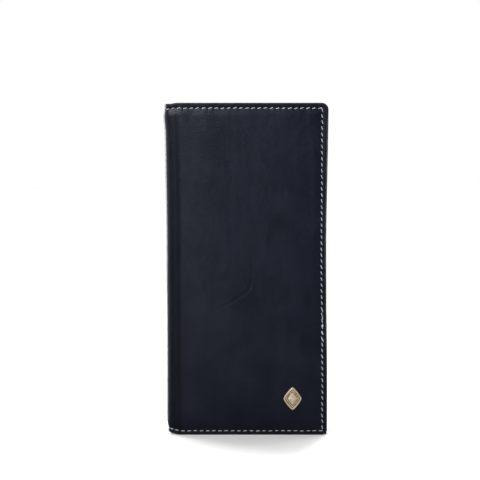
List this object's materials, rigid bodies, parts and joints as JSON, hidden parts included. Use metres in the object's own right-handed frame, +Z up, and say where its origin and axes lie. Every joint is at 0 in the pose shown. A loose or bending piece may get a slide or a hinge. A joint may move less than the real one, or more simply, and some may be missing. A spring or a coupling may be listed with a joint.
{
  "type": "long wallet",
  "caption": "Long upright leather wallet that opens like a book, with note pockets, stepped card slots, a zipped coin pocket and a small lozenge badge.",
  "frame": {"origin": "middle of the bottom of the closed wallet's box", "axes": "+Z up along the wallet's length, -Y out of the front cover, -X towards the spine"},
  "size_m": [0.093, 0.019, 0.19],
  "materials": {
    "outer_leather": "smooth semi-matt navy-black leather",
    "inner_leather": "smooth semi-matt navy-black leather",
    "board": "pressed fibre board",
    "lining": "fine woven lining",
    "thread": "waxed silver-grey thread",
    "zip_tape": "herringbone zip tape",
    "zip_metal": "polished antique brass",
    "emblem_metal": "polished antique gold",
    "washer_metal": "plated steel"
  },
  "bodies": {
    "back_half": {"back_board": "board", "back_card_slot_1": "inner_leather", "back_card_slot_2": "inner_leather", "back_card_slot_3": "inner_leather", "back_card_slot_4": "inner_leather", "back_cover": "outer_leather", "back_lining": "lining", "back_note_panel": "inner_leather", "back_stitching": "thread", "coin_bag_wall": "lining", "coin_panel": "inner_leather", "coin_stitching": "thread", "zip_stops": "zip_metal", "zip_tape_lower": "zip_tape", "zip_tape_upper": "zip_tape", "zip_teeth_lower": "zip_metal", "zip_teeth_upper": "zip_metal"},
    "spine": {"spine_leather": "outer_leather", "spine_lining": "lining", "spine_stitching": "thread"},
    "front_half": {"emblem_plate": "emblem_metal", "emblem_washer": "washer_metal", "front_board": "board", "front_card_slot_1": "inner_leather", "front_card_slot_2": "inner_leather", "front_card_slot_3": "inner_leather", "front_card_slot_4": "inner_leather", "front_card_slot_5": "inner_leather", "front_card_slot_6": "inner_leather", "front_cover": "outer_leather", "front_lining": "lining", "front_note_panel": "inner_leather", "front_stitching": "thread"},
    "slider": {"zip_slider": "zip_metal", "puller_rivet": "zip_metal"},
    "puller": {"zip_puller": "zip_metal"}
  },
  "joints": [
    {"name": "back_fold", "type": "hinge", "parent": "back_half", "child": "spine", "pos_m": [-0.04477, 0.00777, 0.095], "axis": [0, 0, -1], "range_deg": [0, 90]},
    {"name": "front_fold", "type": "hinge", "parent": "spine", "child": "front_half", "pos_m": [-0.04477, -0.00677, 0.095], "axis": [0, 0, -1], "range_deg": [0, 90]},
    {"name": "zip_slide", "type": "slide", "parent": "back_half", "child": "slider", "axis": [-1, 0, 0], "range_m": [0, 0.055]},
    {"name": "puller_swing", "type": "hinge", "parent": "slider", "child": "puller", "pos_m": [0.0315, 0.0015, 0.17], "axis": [0, 1, 0], "range_deg": [-60, 60]}
  ],
  "couplings": [
    {"joint": "front_fold", "follows": "back_fold", "ratio": 1}
  ]
}
